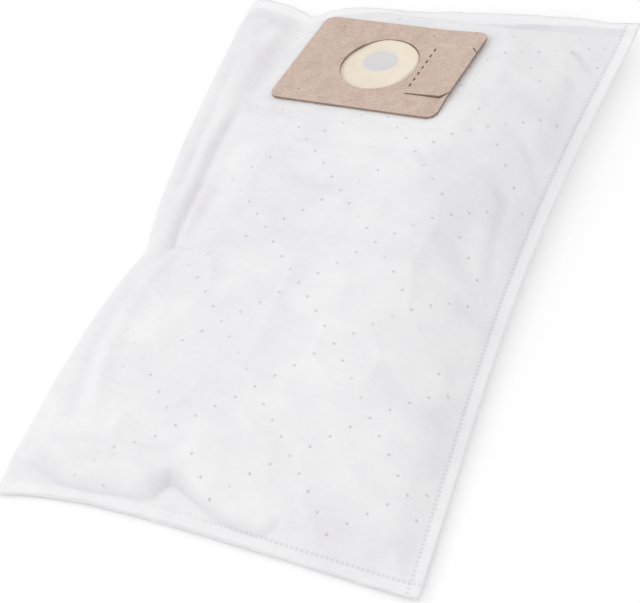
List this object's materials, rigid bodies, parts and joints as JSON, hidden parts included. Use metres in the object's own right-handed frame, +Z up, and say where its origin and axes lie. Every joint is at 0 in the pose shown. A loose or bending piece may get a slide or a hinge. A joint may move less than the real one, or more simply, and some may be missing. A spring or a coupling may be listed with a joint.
{
  "type": "vacuum dust bag",
  "caption": "Puffed fleece dust bag with a stiff board collar, a round hose hole sealed by a rubber membrane, and a pull flap.",
  "frame": {"origin": "middle of the bag's footprint, on the surface it lies on", "axes": "+Y along the bag towards the collar end, +X towards the welded side seam, +Z up"},
  "size_m": [0.2874, 0.54, 0.0566],
  "materials": {
    "fleece": "soft matt white nonwoven fleece with a diamond grid of small bond dots",
    "board": "matt unbleached grey-brown board with darker fibre flecks",
    "membrane_rubber": "satin cream rubber sheet"
  },
  "bodies": {
    "root": {"filter_bag": "fleece", "collar_plate": "board", "sealing_membrane": "membrane_rubber"}
  },
  "joints": []
}
